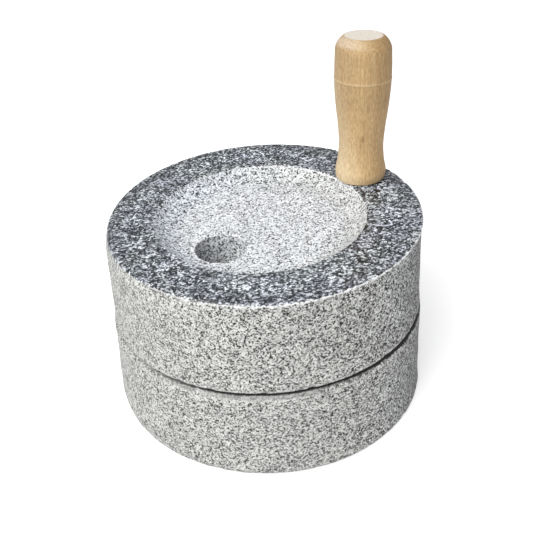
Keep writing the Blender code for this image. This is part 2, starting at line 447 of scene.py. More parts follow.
def runner_profile():
    """The runner's section from the middle of the hopper, round the outside, to the pin's socket.

    It also gives how many of the points belong to the hopper.
    """
    wall = []
    for i in range(WALL_RINGS + 1):
        t = i / WALL_RINGS
        radius = DISH_FLOOR_RADIUS + (DISH_RADIUS - DISH_FLOOR_RADIUS) * t
        wall.append((radius, TOP_HEIGHT - DISH_DEPTH * math.sin((1 - t) * math.pi / 2)))
    dish = divided([(0.0, DISH_FLOOR), (DISH_FLOOR_RADIUS, DISH_FLOOR)], DISH_SPACING) + wall[1:]
    rim = [
        (RUNNER_RADIUS - RUNNER_RIM_CHAMFER, TOP_HEIGHT),
        (RUNNER_RADIUS, TOP_HEIGHT - RUNNER_RIM_CHAMFER),
    ]
    foot = rounded_foot(RUNNER_FOOT_RADIUS, RUNNER_BASE, RUNNER_FOOT_ROUND, 4)
    socket = [
        (PIN_SOCKET_RADIUS, RUNNER_BASE),
        (PIN_SOCKET_RADIUS, PIN_SOCKET_TOP),
        (0.0, PIN_SOCKET_TOP),
    ]
    profile = dish + divided([wall[-1], rim[0]], TOP_SPACING)[1:]
    profile += divided(rim, RIM_SPACING)[1:]
    profile += divided([rim[1]] + foot, FINE)[1:]
    profile += divided([foot[-1]] + socket, COARSE)[1:]
    return profile, len(dish)


def runner_rings():
    """The hopper's rings are true, the top's lead over to the rim, and the side's stray."""
    profile, dish_count = runner_profile()
    top_shift, top_swell = stray(RUNNER_STRAY, TOP_HEIGHT)
    rings = []
    for i, (radius, height) in enumerate(profile):
        if i < dish_count:
            centre = DISH_CENTRE
        elif height > TOP_HEIGHT - 0.01 * MM:
            t = (radius - DISH_RADIUS) / (RUNNER_RADIUS - DISH_RADIUS)
            centre = DISH_CENTRE.lerp(RUNNER_CENTRE + top_shift, min(t, 1.0))
            radius += top_swell * max(t, 0.0)
        else:
            shift, swell = stray(RUNNER_STRAY, height)
            outer = outer_share(radius, RUNNER_RADIUS)
            centre = (RUNNER_CENTRE + shift) * outer
            radius += swell * outer
        rings.append((radius, height, centre.x, centre.y))
    return rings


def runner_chips():
    """Chips along the rim and the foot, and one large chip in the foot, at the front."""
    edge = (RUNNER_RADIUS, TOP_HEIGHT - 0.3 * MM, RUNNER_CENTRE)
    chips = edge_chips(21, 90, *edge, sizes=(0.8, 1.9), depths=(0.15, 0.5))
    edge = (RUNNER_FOOT_RADIUS, RUNNER_BASE + 0.6 * MM, RUNNER_CENTRE)
    chips += edge_chips(22, 30, *edge, sizes=(1.2, 2.6), depths=(0.15, 0.6))
    large_place = polar(RUNNER_FOOT_RADIUS + 0.2 * MM, -109.1, RUNNER_BASE + 0.7 * MM)
    chips.append((large_place, 2.4 * MM, 1.1 * MM))
    return chips


def runner_stone():
    mesh = lofted_mesh("runner", runner_rings(), STONE_STEPS)
    points, normals = read_surface(mesh)
    from_middle = np.hypot(points[:, 0] - RUNNER_CENTRE.x, points[:, 1] - RUNNER_CENTRE.y)
    from_dish = np.hypot(points[:, 0] - DISH_CENTRE.x, points[:, 1] - DISH_CENTRE.y)
    below_top = TOP_HEIGHT - points[:, 2]
    side = ramp_up(from_middle, 97.6 * MM, 98.8 * MM) * ramp_up(below_top, 0.1 * MM, 1.2 * MM)
    side *= ramp_up(points[:, 2], RUNNER_BASE, RUNNER_BASE + 0.6 * MM)
    is_foot = from_middle > RUNNER_FOOT_RADIUS - RUNNER_FOOT_ROUND - EDGE_MARGIN
    is_foot = is_foot * (points[:, 2] < RUNNER_BASE + RUNNER_FOOT_ROUND)
    sharpen(points, from_middle, RUNNER_FOOT_RADIUS, is_foot * 0.5)
    hollow = 1 - ramp_up(from_dish, 66.0 * MM, DISH_RADIUS)
    hollow = hollow * (points[:, 2] > DISH_FLOOR - 1 * MM)
    share = np.maximum(side, hollow * 0.8)
    points += normals * stone_relief(points, share, RUNNER_SEED)[:, None]
    flake_off(points, normals, runner_chips())
    write_points(mesh, points)
    stone = new_object("runner", mesh)
    cut(stone, eye_cutter())
    cut(stone, socket_cutter())
    cut(stone, furrow_cutter(RUNNER_BASE))
    return stone


def eye_cutter():
    """The feed eye as the drill left it, with its upper edge eased."""
    low = RUNNER_BASE - 5 * MM
    high = DISH_FLOOR + 6 * MM
    edge_centre = (EYE_RADIUS + EYE_EASE, DISH_FLOOR - EYE_EASE)
    cap = [(0.0, high), (EYE_RADIUS + EYE_EASE + 6 * MM, high)]
    wall = arc(edge_centre, (EYE_EASE, EYE_EASE), 90, 180, 4) + [(EYE_RADIUS, low)]
    profile = cap + divided(wall, FINE) + [(0.0, low)]
    rings = [(radius, height, EYE_CENTRE.x, EYE_CENTRE.y) for radius, height in profile]
    mesh = lofted_mesh("feed_eye", rings, EYE_STEPS)
    points, normals = read_surface(mesh)
    inside = (points[:, 2] < DISH_FLOOR) * (points[:, 2] > low + 1 * MM)
    points += normals * stone_relief(points, inside * 1.0, EYE_SEED)[:, None]
    write_points(mesh, points)
    return new_object("feed_eye", mesh)


def handle_frame():
    """Stands the handle's own frame on the runner's top, with the handle's lean."""
    lean = Matrix.Rotation(HANDLE_LEAN_OUT, 4, "Y") @ Matrix.Rotation(-HANDLE_LEAN_SIDE, 4, "X")
    return Matrix.Translation((HANDLE_REACH, 0.0, TOP_HEIGHT)) @ lean


def socket_cutter():
    """The hole that the handle's tenon is set in."""
    radius = TENON_RADIUS + SOCKET_GAP
    high = 5 * MM
    low = -TENON_LENGTH - SOCKET_GAP
    profile = [(0.0, high), (radius, high), (radius, low), (0.0, low)]
    mesh = lofted_mesh("handle_socket", [(*point, *AXIS) for point in profile], SOCKET_STEPS)
    mesh.transform(handle_frame())
    return new_object("handle_socket", mesh)


# ---------------- handle


def handle_radius(height):
    """The grip's radius at a height, on a Catmull-Rom curve through its sections."""
    heights, radii = zip(*HANDLE_SECTIONS)
    last = len(radii) - 1
    z = height / MM
    i = 0
    while i < last - 1 and z > heights[i + 1]:
        i += 1
    start, end = radii[i], radii[i + 1]
    before, after = radii[max(i - 1, 0)], radii[min(i + 2, last)]
    t = (z - heights[i]) / (heights[i + 1] - heights[i])
    radius = 0.5 * (
        2 * start
        + (end - before) * t
        + (2 * before - 5 * start + 4 * end - after) * t ** 2
        + (3 * start - before - 3 * end + after) * t ** 3
    )
    ring = LATHE_RING_RISE * math.exp(-(((height - LATHE_RING_HEIGHT) / LATHE_RING_WIDTH) ** 2))
    return radius * MM + ring


def handle_profile():
    """The handle's section from its end down to its tenon, and how many points lie above that."""
    shoulder_height = HANDLE_SECTIONS[-1][0] * MM
    shoulder_radius = HANDLE_SECTIONS[-1][1] * MM
    radii = (shoulder_radius - HANDLE_END_RADIUS, HANDLE_HEIGHT - shoulder_height)
    end = [(0.0, HANDLE_HEIGHT), (HANDLE_END_RADIUS, HANDLE_HEIGHT)]
    profile = divided(end, END_SPACING)
    profile += flat_arc((HANDLE_END_RADIUS, shoulder_height), radii, HANDLE_SHOULDER_POWER, 14)[1:]
    bottom = HANDLE_FOOT_ROUND
    for i in range(1, GRIP_RINGS + 1):
        height = shoulder_height + (bottom - shoulder_height) * i / GRIP_RINGS
        profile.append((handle_radius(height), height))
    profile += rounded_foot(handle_radius(bottom), 0.0, HANDLE_FOOT_ROUND, 5)[1:]
    tenon = [(TENON_RADIUS, 0.0), (TENON_RADIUS, -TENON_LENGTH), (0.0, -TENON_LENGTH)]
    return profile + tenon, len(profile)


def turned_handle():
    """The grip with the tenon below it, built upright and then leaned over with its frame."""
    profile, grip_count = handle_profile()
    mesh = lofted_mesh("grip", [(*point, *AXIS) for point in profile], HANDLE_STEPS)
    points, normals = read_surface(mesh)
    stand = handle_frame()
    rise_x, rise_y, rise_z = stand[2][:3]
    # The foot is cut level with the stone, so its points slide along the axis to that plane
    slope = (points[:, 0] * rise_x + points[:, 1] * rise_y) / rise_z
    foot_share = 1 - ramp_up(points[:, 2], 0.0, HANDLE_SLOPE_HEIGHT)
    is_grip = np.arange(len(points)) < 1 + grip_count * HANDLE_STEPS
    points[:, 2] += np.where(is_grip, (HANDLE_FOOT_GAP / rise_z - slope) * foot_share, 0.0)
    outside = is_grip * ramp_up(points[:, 2], 1 * MM, 3 * MM)
    worn = lumps(points, 24 * MM, HANDLE_SEED) * 0.18 * MM
    worn += lumps(points * GRAIN_DRAW, 2.2 * MM, HANDLE_SEED + 1) * 0.03 * MM
    points += normals * (worn * outside)[:, None]
    write_points(mesh, points)
    grip = new_object("grip", mesh)
    grip.matrix_world = stand
    return grip


# ---------------- material tools


def new_material(name):
    material = bpy.data.materials.new(name)
    material.use_nodes = True
    tree = material.node_tree
    return material, tree, tree.nodes["Principled BSDF"]


def feed(tree, node, values):
    """Sets each of a node's inputs to a number or colour, or links it to another's output."""
    for name, value in values.items():
        if isinstance(value, bpy.types.NodeSocket):
            tree.links.new(value, node.inputs[name])
        else:
            node.inputs[name].default_value = value


def new_node(tree, kind, values, **settings):
    node = tree.nodes.new("ShaderNode" + kind)
    for name, setting in settings.items():
        setattr(node, name, setting)
    feed(tree, node, values)
    return node


def calc(tree, operation, first, second=0.0, clamp=False):
    values = {0: first, 1: second}
    return new_node(tree, "Math", values, operation=operation, use_clamp=clamp).outputs[0]


def product(tree, first, *others):
    for other in others:
        first = calc(tree, "MULTIPLY", first, other)
    return first


def total(tree, first, *others):
    for other in others:
        first = calc(tree, "ADD", first, other)
    return first


def difference(tree, first, second, clamp=False):
    return calc(tree, "SUBTRACT", first, second, clamp)


def vector_calc(tree, operation, first, second):
    values = {0: first, "Scale" if operation == "SCALE" else 1: second}
    node = new_node(tree, "VectorMath", values, operation=operation)
    gives_number = operation in ("LENGTH", "DOT_PRODUCT", "DISTANCE")
    return node.outputs["Value" if gives_number else "Vector"]


def rescaled(tree, value, low, high, to_low=0.0, to_high=1.0):
    """Maps low..high to to_low..to_high, smoothly, and holds the ends."""
    values = {"From Min": low, "From Max": high, "To Min": to_low, "To Max": to_high}
    values["Value"] = value
    return new_node(tree, "MapRange", values, interpolation_type="SMOOTHSTEP").outputs["Result"]


def mixed(tree, factor, first, second, blend="MIX"):
    values = {"Factor": factor, 6: first, 7: second}
    return new_node(tree, "Mix", values, data_type="RGBA", blend_type=blend).outputs[2]


def ramp(tree, value, stops):
    """A colour ramp through stops of (position, colour)."""
    node = new_node(tree, "ValToRGB", {"Fac": value})
    elements = node.color_ramp.elements
    for position, _ in stops[1:-1]:
        elements.new(position)
    for element, (position, colour) in zip(elements, stops):
        element.position = position
        element.color = (*colour, 1.0)
    return node.outputs["Color"]


def past(tree, value, level, low, high, at_low=0.0, at_high=1.0):
    """Changes from at_low to at_high between two distances past a level, in mm."""
    return rescaled(tree, value, level + low * MM, level + high * MM, at_low, at_high)


def strip(tree, value, level, start, full, fading, end):
    """1 where the value is from full to fading mm past a level, and 0 below start and above end."""
    rise = past(tree, value, level, start, full)
    fall = past(tree, value, level, fading, end)
    return difference(tree, rise, fall, clamp=True)


def tinted(tree, colour, tone):
    return mixed(tree, 1.0, colour, tone, "MULTIPLY")


def strengthened(tree, colour, power, gain):
    """The colour with its lights and darks drawn apart."""
    node = new_node(tree, "Gamma", {"Color": colour, "Gamma": power})
    return tinted(tree, node.outputs["Color"], (gain, gain, gain, 1.0))


def stretched(tree, place, shares):
    return vector_calc(tree, "MULTIPLY", place, shares)


def noise_outputs(tree, place, size, detail=2.0):
    """Noise with features of the given size: "Fac" from 0 to 1, and "Color"."""
    values = {"Vector": place, "Scale": 1.0 / size, "Detail": detail}
    return new_node(tree, "TexNoise", values).outputs


def warped(tree, place, size, reach):
    """The place pushed about by noise, so that crystals get ragged, interlocking outlines."""
    noisy = noise_outputs(tree, place, size)["Color"]
    centred = vector_calc(tree, "SUBTRACT", noisy, (0.5, 0.5, 0.5))
    return vector_calc(tree, "ADD", place, stretched(tree, centred, (reach, reach, reach)))


def grains(tree, place, size):
    """Crystals of about the given size: a random number for each, and how far its middle is."""
    node = new_node(tree, "TexVoronoi", {"Vector": place, "Scale": 1.0 / size})
    split = new_node(tree, "SeparateColor", {"Color": node.outputs["Color"]})
    return split.outputs["Red"], node.outputs["Distance"]


def bump(tree, height, distance, strength):
    values = {"Strength": strength, "Distance": distance, "Height": height}
    return new_node(tree, "Bump", values).outputs["Normal"]


class Finish:
    """A piece's material, with the measures on the piece that its tones follow."""

    def __init__(self, name):
        self.material, self.tree, self.shader = new_material(name)
        self.place = new_node(self.tree, "TexCoord", {}).outputs["Object"]
        self.height = new_node(self.tree, "SeparateXYZ", {0: self.place}).outputs["Z"]
        self.to_left = vector_calc(self.tree, "DOT_PRODUCT", self.place, tuple(TO_LEFT))

    def distance(self, centre):
        """How far each place is from an upright line through centre."""
        flat = stretched(self.tree, self.place, (1.0, 1.0, 0.0))
        return vector_calc(self.tree, "DISTANCE", flat, (centre[0], centre[1], 0.0))

    def cloud(self, size, detail=2.0):
        return noise_outputs(self.tree, self.place, size, detail)["Fac"]

    def drawn_cloud(self, shares, size, detail=2.0):
        """Noise drawn out along each axis of small share."""
        drawn = stretched(self.tree, self.place, shares)
        return noise_outputs(self.tree, drawn, size, detail)["Fac"]

    def leftwards(self, right, left, on_right=0.0, on_left=1.0):
        """Changes between two places, in mm to the left of the piece's axis."""
        return past(self.tree, self.to_left, 0.0, right, left, on_right, on_left)

    def upwards(self, low, high, at_low=0.0, at_high=1.0):
        """Changes between two heights, in mm."""
        return past(self.tree, self.height, 0.0, low, high, at_low, at_high)


# ---------------- granite


# Colours of the minerals in each finish: mineral number, lightness, and any share of blue
MATTE_MINERALS = (
    (0.00, 0.006), (0.09, 0.015), (0.16, 0.060), (0.29, 0.115),
    (0.38, 0.230), (0.55, 0.330), (0.75, 0.410), (1.00, 0.520),
)
PECKED_MINERALS = (
    (0.00, 0.018, 0.03), (0.10, 0.070, 0.03), (0.22, 0.210, 0.03),
    (0.38, 0.410, 0.03), (0.70, 0.560, 0.03), (1.00, 0.650, 0.03),
)
POLISHED_MINERALS = (
    (0.00, 0.003, 0.22), (0.22, 0.007, 0.22), (0.36, 0.034, 0.20), (0.54, 0.098, 0.16),
    (0.70, 0.225, 0.12), (0.84, 0.440, 0.07), (1.00, 0.700, 0.04),
)
RUBBED_AND_SHADED_MINERALS = ((0.35, 0.15), (0.65, 0.27))
STEEL_PATCHES = ((0.30, 0.30), (0.70, 0.52))

# Tones laid over the crystals from right to left, which paint shade on the far right of the sides
# and round the hopper's wall, and in the ring's cloudy tints
SIDE_SHADE_TONES = ((0.0, (0.655, 0.65, 0.69)), (0.33, (1.0, 1.0, 1.04)), (1.0, (1.0, 1.0, 1.0)))
WALL_SHADE_ON_RIGHT = (0.0, (0.89, 0.875, 0.85))
LOW_WALL_SHADE_TONES = (WALL_SHADE_ON_RIGHT, (0.55, (0.91, 0.91, 0.91)), (1.0, (0.84, 0.83, 0.87)))
HIGH_WALL_SHADE_TONES = (WALL_SHADE_ON_RIGHT, (0.55, (0.92, 0.92, 0.92)), (1.0, (1.00, 0.99, 1.03)))
DISH_FLOOR_TONE = (1.05, 1.04, 1.06, 1.0)
CLOUDY_TONES = ((0.35, (0.98, 1.00, 0.975)), (0.65, (1.00, 0.99, 1.06)))
FLAT_GREY_WASH = (0.252, 0.256, 0.248, 1.0)
EDGE_WEAR_AND_HIGHLIGHT = (0.45, 0.45, 0.44, 1.0)
ARRIS_BRUISE_AND_HIGHLIGHT = (0.64, 0.64, 0.655, 1.0)
# A painted shadow below the seam, and painted shade in the crevice under the runner
SEAM_SHADOW = (0.10, 0.10, 0.10, 1.0)
CREVICE_SHADE = (0.008, 0.008, 0.009, 1.0)

SMALL_CRYSTAL = 0.78 * MM
LARGE_CRYSTAL = 1.35 * MM
DRESSED_ROUGHNESS = 0.88
POLISHED_ROUGHNESS = 0.32
DRESSED_BUMP = 0.55
POLISHED_BUMP = 0.03


def grey(lightness, blue=-0.02):
    return (lightness * (1 - blue / 2 - 0.012), lightness * 1.006, lightness * (1 + blue))


def mineral_ramp(tree, mineral, rows):
    return ramp(tree, mineral, [(number, grey(*colour)) for number, *colour in rows])


class Granite(Finish):
    """The minerals of one stone, shared by its faces so that crystals run on across its edges."""

    def __init__(self, name):
        super().__init__(name)
        tree = self.tree
        self.to_front = vector_calc(tree, "DOT_PRODUCT", self.place, tuple(TO_CAMERA))
        bent = warped(tree, self.place, 1.8 * MM, 0.9 * MM)
        self.small, self.small_middle = grains(tree, bent, SMALL_CRYSTAL)
        # The large crystals lie a little flattened from front to back
        flattening = product(tree, self.to_front, 0.28)
        flattening = vector_calc(tree, "SCALE", tuple(TO_CAMERA), flattening)
        self.large, _ = grains(tree, vector_calc(tree, "ADD", bent, flattening), LARGE_CRYSTAL)
        self.ragged = difference(tree, self.cloud(2.4 * MM, 3.0), 0.5)

    def wavering(self, reach):
        """The height, with a ragged wander, for borders that follow the stone's edges."""
        return total(self.tree, self.height, product(self.tree, self.ragged, reach))

    def blended(self, first, second, share):
        """One mineral number, led by the first grains and nudged by the second."""
        nudge = product(self.tree, difference(self.tree, second, 0.5), share)
        return calc(self.tree, "ADD", first, nudge, clamp=True)

    def matte(self, greying):
        """Sawn and dressed faces: light, with grey quartz and fine dark mica.

        They turn a flatter grey on the left, their specks show stronger on the right, and the far
        right is darkened as painted shade.
        """
        tree = self.tree
        crystals = mineral_ramp(tree, self.blended(self.small, self.large, 0.45), MATTE_MINERALS)
        strong = self.leftwards(-75, -15, 1.0, 0.0)
        crystals = mixed(tree, strong, crystals, strengthened(tree, crystals, 1.6, 1.78))
        # Painted shade: the far right of the sides is darkened, and the middle a little blued
        crystals = tinted(tree, crystals, ramp(tree, self.leftwards(-100, -40), SIDE_SHADE_TONES))
        return mixed(tree, self.leftwards(20, 92, 0.0, greying), crystals, FLAT_GREY_WASH)

    def hollowed(self, from_middle):
        """The hopper's pecked hollow: whitish, with fine grey specks, and darker round its wall,
        partly its own tone and partly painted shade, which is darker and bluer low on the left.
        """
        tree = self.tree
        wall = past(tree, from_middle, DISH_FLOOR_RADIUS, -6, 4)
        high = past(tree, from_middle, DISH_FLOOR_RADIUS, 2, 7)
        across = self.leftwards(-55, 60)
        # The larger crystals show on the steep wall to the left
        fine = self.blended(self.small, self.large, 0.35)
        coarse = self.blended(self.large, self.small, 0.6)
        coarser = product(tree, wall, self.leftwards(15, 45, 0.0, 0.8))
        mineral = total(tree, fine, product(tree, coarser, difference(tree, coarse, fine)))
        crystals = mineral_ramp(tree, mineral, PECKED_MINERALS)
        # Painted shade on the hopper's wall, darker and bluer low on the left
        low_wall_shade = ramp(tree, across, LOW_WALL_SHADE_TONES)
        wall_shade = mixed(tree, high, low_wall_shade, ramp(tree, across, HIGH_WALL_SHADE_TONES))
        tone = mixed(tree, wall, DISH_FLOOR_TONE, wall_shade)
        strong = product(tree, wall, across)
        crystals = mixed(tree, strong, crystals, strengthened(tree, crystals, 1.7, 1.6))
        return tinted(tree, crystals, tone)

    def polished(self, from_dish, from_rim):
        """The same minerals, dark and wet, in clusters and cloudy tints, stronger at the back."""
        tree = self.tree
        cluster = difference(tree, self.cloud(6 * MM), 0.5)
        mineral = self.blended(self.large, self.small, 0.60)
        mineral = total(tree, mineral, product(tree, cluster, 0.62))
        colour = mineral_ramp(tree, mineral, POLISHED_MINERALS)
        back = past(tree, self.to_front, 0.0, -90, -50, 1.0, 0.0)
        colour = mixed(tree, back, colour, strengthened(tree, colour, 1.3, 1.40))
        elsewhere = vector_calc(tree, "ADD", self.place, (0.3, 0.1, 0.2))
        clouds = noise_outputs(tree, elsewhere, 20 * MM)["Fac"]
        colour = tinted(tree, colour, ramp(tree, clouds, CLOUDY_TONES))
        return tinted(tree, colour, self.scuffs_and_handle_shadow(from_dish, from_rim))

    def scuffs_and_handle_shadow(self, from_dish, from_rim):
        """Paler along the ring's middle, and darker to the back left and at the far back right,
        where the darkening round the handle's foot is painted shadow and reflection of the handle.
        """
        tree = self.tree
        back_left = product(tree, self.to_left, 0.5)
        run = difference(tree, product(tree, self.to_front, 0.85), back_left)
        front_left = total(tree, self.to_left, self.to_front)
        return product(
            tree,
            past(tree, run, 0.0, -90, 60, 0.82, 0.98),
            past(tree, from_dish, DISH_RADIUS, 4, 12, 0.84, 1.03),
            past(tree, from_rim, RUNNER_RADIUS, -16, -8, 1.03, 0.76),
            past(tree, front_left, 0.0, 60, 110, 1.0, 0.98),
            # Painted shadow and reflection of the handle, round its foot at the back right
            past(tree, front_left, 0.0, -132, -105, 0.66, 1.0),
        )

    def close(self, colour, roughness, bump_strength):
        """Feeds the shader, with slow drifts of tone and pits between the crystals."""
        tree = self.tree
        drift = rescaled(tree, self.cloud(14 * MM), 0.3, 0.7, 0.92, 1.06)
        pits = product(tree, self.small_middle, 0.6)
        pits = total(tree, pits, self.cloud(0.9 * MM, 3.0))
        feed(tree, self.shader, {
            "Base Color": tinted(tree, colour, drift),
            "Roughness": roughness,
            "Normal": bump(tree, pits, 0.22 * MM, bump_strength),
        })
        return self.material


def bed_crevice_shade(stone, level, outside):
    """Painted shade in the crevice under the runner, wider and more ragged on the shaded right, and
    faint on the lit left.
    """
    tree = stone.tree
    crisp_level = stone.wavering(0.7 * MM)
    depth = stone.leftwards(-100, -35, 1.3 * MM, 0.0)
    raggedness = difference(tree, level, crisp_level)
    raggedness = product(tree, raggedness, rescaled(tree, depth, 0.0, 1.0 * MM))
    level = total(tree, crisp_level, depth, raggedness)
    near_seam = past(tree, level, BED_HEIGHT, -0.95, -0.45)
    return product(tree, near_seam, outside, stone.leftwards(30, 90, 0.96, 0.12))


def bed_granite():
    """Dressed all over, with a rubbed shoulder under the seam at the front left whose mid grey is
    partly painted shadow, and painted shade along the seam.
    """
    stone = Granite("bed_granite")
    tree = stone.tree
    # The side and the shoulder, without the grinding face
    outside = past(tree, stone.distance(AXIS), BED_TOP_RADIUS, -9, -6)
    level = stone.wavering(2.2 * MM)
    edge = strip(tree, level, BED_HEIGHT, -4.4, -3.6, -3.0, -2.2)
    # The mid grey band under the seam: rubbed smooth, and partly painted shadow from the runner's
    # overhang
    rubbed_and_shaded = product(tree, stone.leftwards(-35, -10), stone.leftwards(50, 85, 1.0, 0.0))
    rubbed_and_shaded = product(tree, past(tree, level, BED_HEIGHT, -3.0, -2.2), rubbed_and_shaded, 0.65)
    drawn = stone.drawn_cloud((0.3, 0.3, 1.6), 1.3 * MM)
    # Painted shadow in a soft band below the seam, on the right
    seam_shadow = past(tree, level, BED_HEIGHT, -2.0, -0.8)
    seam_shadow = product(tree, seam_shadow, stone.leftwards(-40, -5, 0.5, 0.0), outside)
    # A little darker on the left: painted shade that tempers the key light there
    colour = tinted(tree, stone.matte(0.10), stone.leftwards(10, 60, 1.0, 0.955))
    colour = mixed(tree, rubbed_and_shaded, colour, mineral_ramp(tree, drawn, RUBBED_AND_SHADED_MINERALS))
    # The shoulder's outer edge: wear and a painted highlight
    colour = mixed(tree, product(tree, edge, 0.35), colour, EDGE_WEAR_AND_HIGHLIGHT)
    colour = mixed(tree, seam_shadow, colour, SEAM_SHADOW)
    # Painted shade in the crevice under the runner
    colour = mixed(tree, bed_crevice_shade(stone, level, outside), colour, CREVICE_SHADE)
    return stone.close(colour, DRESSED_ROUGHNESS, DRESSED_BUMP)


def polished_ring(stone, out_of_dish, polish_end):
    """1 where the top is polished, which runs over the worn rim, and furthest on the left, where
    the dark polished colour down the rim is painted shade.
    """
    tree = stone.tree
    # On the left the dark polished colour runs down the rim as painted shade
    shade_over_rim = difference(tree, stone.leftwards(55, 98, 0.0, 2.2 * MM), polish_end)
    wander = product(tree, stone.ragged, stone.leftwards(-60, -20, 0.8 * MM, 2.2 * MM))
    level = total(tree, stone.height, shade_over_rim, wander)
    return product(tree, out_of_dish, past(tree, level, TOP_HEIGHT, -0.9, -0.6))


def eye_and_hollow(stone, out_of_dish):
    """1 down the feed eye's wall, and 1 over the hopper, fading down the eye, so that the eye
    darkens with depth as painted shade.
    """
    tree = stone.tree
    height = stone.height
    in_eye = past(tree, stone.distance(EYE_CENTRE), EYE_RADIUS, 1.5, 2.5, 1.0, 0.0)
    below_floor = past(tree, height, DISH_FLOOR, -3, -1, 1.0, 0.0)
    above_floor = past(tree, height, DISH_FLOOR, -1.4, -0.6)
    # The pale hopper colour fades out down the eye: painted shade, darker with depth
    fading = rescaled(tree, height, RUNNER_BASE + 10 * MM, DISH_FLOOR - 15 * MM, 0.0, 0.72)
    reach = calc(tree, "MAXIMUM", above_floor, product(tree, in_eye, fading))
    hollow = product(tree, difference(tree, 1.0, out_of_dish), reach)
    return product(tree, in_eye, below_floor), hollow


def bruised_and_lit_arris(stone, polish_end):
    """Where the rim is pale, in patches and less on the left: partly bruising from the dressing of
    the sides, and partly a painted highlight on the arris.
    """
    tree = stone.tree
    broken = difference(tree, stone.cloud(6 * MM), 0.5)
    level = total(tree, stone.wavering(3.2 * MM), product(tree, broken, 2.5 * MM))
    level = difference(tree, level, polish_end)
    return product(
        tree,
        past(tree, level, TOP_HEIGHT, -2.2, -1.5),
        rescaled(tree, stone.cloud(1.6 * MM), 0.34, 0.54, 0.12, 0.88),
        stone.leftwards(10, 50, 1.0, 0.35),
    )


def runner_foot(stone):
    """The runner's lower edge, lightened as wear and a painted highlight, and painted shade in the
    crevice below it, fainter on the left.
    """
    tree = stone.tree
    edge = strip(tree, stone.wavering(3.2 * MM), RUNNER_BASE, 1.0, 1.6, 2.4, 3.2)
    level = stone.wavering(0.6 * MM)
    crevice_shade = past(tree, level, RUNNER_BASE, 0.45, 0.95, 0.9, 0.0)
    return product(tree, edge, 0.28), product(tree, crevice_shade, stone.leftwards(30, 92, 1.0, 0.25))


def runner_granite():
    """Dressed sides, a polished ring on top, the pecked hopper, and the feed eye's wall."""
    stone = Granite("runner_granite")
    tree = stone.tree
    from_dish = stone.distance(DISH_CENTRE)
    from_rim = stone.distance(RUNNER_CENTRE)
    from_pecked = stone.distance(PECKED_CENTRE)
    from_pecked = total(tree, from_pecked, product(tree, stone.ragged, 3.2 * MM))
    out_of_dish = past(tree, from_pecked, PECKED_RADIUS, -0.3, 0.2)
    # How far the polish stops short of the rim on the right
    polish_end = stone.leftwards(-60, -20, 0.35 * MM, 0.0)
    ring = polished_ring(stone, out_of_dish, polish_end)
    eye_wall, hollow = eye_and_hollow(stone, out_of_dish)
    foot_highlight, crevice_shade = runner_foot(stone)
    arris_light = bruised_and_lit_arris(stone, polish_end)
    # The pale arris: bruising, and a painted highlight
    colour = mixed(tree, arris_light, stone.matte(0.25), ARRIS_BRUISE_AND_HIGHLIGHT)
    # The runner's lower edge: wear and a painted highlight
    colour = mixed(tree, foot_highlight, colour, EDGE_WEAR_AND_HIGHLIGHT)
    colour = mixed(tree, hollow, colour, stone.hollowed(from_dish))
    # The specks show stronger down the eye
    colour = mixed(tree, eye_wall, colour, strengthened(tree, colour, 1.35, 1.38))
    colour = mixed(tree, ring, colour, stone.polished(from_dish, from_rim))
    # Painted shade in the crevice under the runner's foot
    colour = mixed(tree, crevice_shade, colour, CREVICE_SHADE)
    roughness = rescaled(tree, ring, 0.0, 1.0, DRESSED_ROUGHNESS, POLISHED_ROUGHNESS)
    bump_strength = rescaled(tree, ring, 0.0, 1.0, DRESSED_BUMP, POLISHED_BUMP)
    feed(tree, stone.shader, {"Specular IOR Level": 0.35})
    return stone.close(colour, roughness, bump_strength)


# ---------------- wood and steel


WOOD_FIGURE = (
    (0.30, (0.290, 0.184, 0.084)),
    (0.50, (0.360, 0.243, 0.121)),
    (0.70, (0.420, 0.296, 0.156)),
)
WOOD_PORES = (0.19, 0.115, 0.06, 1.0)
WOOD_PATCHES = (0.375, 0.250, 0.122, 1.0)
FIBRE_TONES = ((0.32, (0.85, 0.835, 0.80)), (0.68, (1.17, 1.18, 1.19)))
END_SPECKLE = ((0.3, (0.47, 0.418, 0.36)), (0.7, (0.615, 0.562, 0.505)))
KNOT = (0.18, 0.10, 0.05, 1.0)
LATHE_RING = (0.52, 0.40, 0.25, 1.0)

# From right to left: painted shade round the grip, lightest down the front, and darker and redder
# round both sides
ROUND_SHADE_TONES = (
    (0.0, (0.94, 0.88, 0.80)),
    (0.3, (1.05, 1.04, 1.03)),
    (0.6, (1.09, 1.09, 1.08)),
    (1.0, (0.86, 0.85, 0.86)),
)
# From the foot upwards
UPRIGHT_TONES = (
    (0.0, (1.12, 1.12, 1.12)),
    (0.5, (0.98, 0.98, 0.98)),
    (0.62, (0.87, 0.87, 0.86)),
    (1.0, (0.85, 0.85, 0.84)),
)
LIT_BY_STONE = (0.62, 0.52, 0.36, 1.0)
SHOULDER_HIGHLIGHT = (0.50, 0.43, 0.35, 1.0)
FOOT_PAINTED_LIGHT = (0.62, 0.49, 0.33, 1.0)


